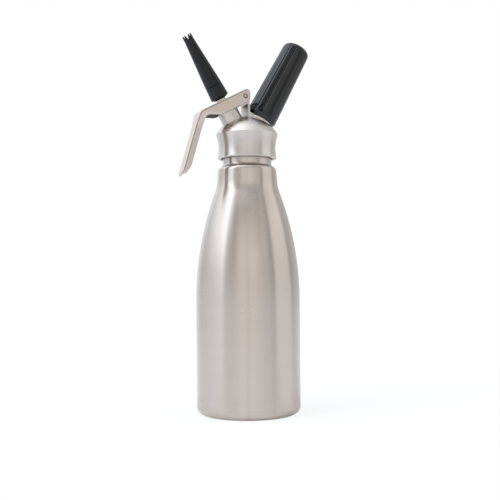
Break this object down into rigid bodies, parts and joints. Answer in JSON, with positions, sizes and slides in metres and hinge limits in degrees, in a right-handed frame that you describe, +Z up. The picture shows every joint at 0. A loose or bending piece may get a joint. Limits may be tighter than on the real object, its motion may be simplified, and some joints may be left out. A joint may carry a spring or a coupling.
{
  "type": "whipped cream dispenser",
  "caption": "Steel whipped cream dispenser with a lever-worked valve, toothed decorator nozzle, screw-on head and gas charger holder.",
  "frame": {"origin": "centre of the bottle's foot, on the surface it stands on", "axes": "+Z up the bottle's axis, +X towards the gas charger holder, -X towards the nozzle and the lever's handle, Y across the lever"},
  "size_m": [0.1183, 0.0894, 0.325],
  "materials": {
    "bottle_steel": "satin brushed stainless steel",
    "head_steel": "cast stainless steel, dome polished, collar satin",
    "lever_steel": "pressed and tumbled stainless sheet",
    "turned_steel": "turned stainless steel",
    "brass": "turned brass",
    "spring_steel": "drawn spring wire",
    "black_plastic": "satin moulded polypropylene",
    "seal_rubber": "food grade silicone rubber",
    "charger_steel": "zinc plated deep drawn steel",
    "liner_aluminium": "turned aluminium"
  },
  "bodies": {
    "bottle": {"bottle": "bottle_steel"},
    "head_gasket": {"head_gasket": "seal_rubber"},
    "head": {"head": "head_steel", "stem_o_ring": "seal_rubber", "stem_guide_bush": "brass", "valve_spring": "spring_steel", "piercing_pin": "turned_steel", "pin_retainer": "brass", "charger_gasket": "seal_rubber", "inlet_valve_rubber": "seal_rubber"},
    "lever": {"lever": "lever_steel", "lever_pivot_pin": "turned_steel"},
    "valve_stem": {"valve_stem": "turned_steel", "valve_gasket": "seal_rubber", "thrust_collar": "turned_steel", "collar_clip": "spring_steel", "nozzle_adapter": "black_plastic"},
    "nozzle_seal": {"nozzle_seal": "seal_rubber"},
    "nozzle": {"decorator_nozzle": "black_plastic"},
    "gas_charger": {"gas_charger": "charger_steel", "charger_seal": "charger_steel"},
    "charger_holder": {"charger_holder_liner": "liner_aluminium", "charger_holder_sleeve": "black_plastic"}
  },
  "joints": [
    {"name": "head_lift", "type": "slide", "parent": "bottle", "child": "head_gasket", "axis": [0, 0, 1], "range_m": [0, 0.01]},
    {"name": "head_turn", "type": "hinge", "parent": "head_gasket", "child": "head", "pos_m": [0, 0, 0.23521], "axis": [0, 0, 1], "range_deg": [0, 900]},
    {"name": "lever_press", "type": "hinge", "parent": "head", "child": "lever", "pos_m": [-0.00503, 0, 0.27244], "axis": [0, -1, 0], "range_deg": [0, 12]},
    {"name": "stem_push", "type": "slide", "parent": "head", "child": "valve_stem", "axis": [0.5, 0, -0.866], "range_m": [0, 0.00364], "stiffness_N_per_m": 1500, "springref_m": -0.005, "deforming": ["valve_spring"]},
    {"name": "nozzle_lift", "type": "slide", "parent": "valve_stem", "child": "nozzle_seal", "axis": [-0.5, 0, 0.866], "range_m": [0, 0.006]},
    {"name": "nozzle_turn", "type": "hinge", "parent": "nozzle_seal", "child": "nozzle", "pos_m": [-0.03003, 0, 0.28094], "axis": [-0.5, 0, 0.866], "range_deg": [0, 1440]},
    {"name": "holder_lift", "type": "slide", "parent": "head", "child": "gas_charger", "axis": [0.4848, 0, 0.8746], "range_m": [0, 0.008]},
    {"name": "holder_turn", "type": "hinge", "parent": "gas_charger", "child": "charger_holder", "pos_m": [0.01152, 0, 0.25323], "axis": [0.4848, 0, 0.8746], "range_deg": [0, 1440]}
  ],
  "couplings": [
    {"joint": "head_turn", "follows": "head_lift", "rad_per_m": 1570.8},
    {"joint": "lever_press", "follows": "stem_push", "rad_per_m": 57.471},
    {"joint": "nozzle_turn", "follows": "nozzle_lift", "rad_per_m": 4188.8},
    {"joint": "holder_turn", "follows": "holder_lift", "rad_per_m": 3141.6}
  ]
}
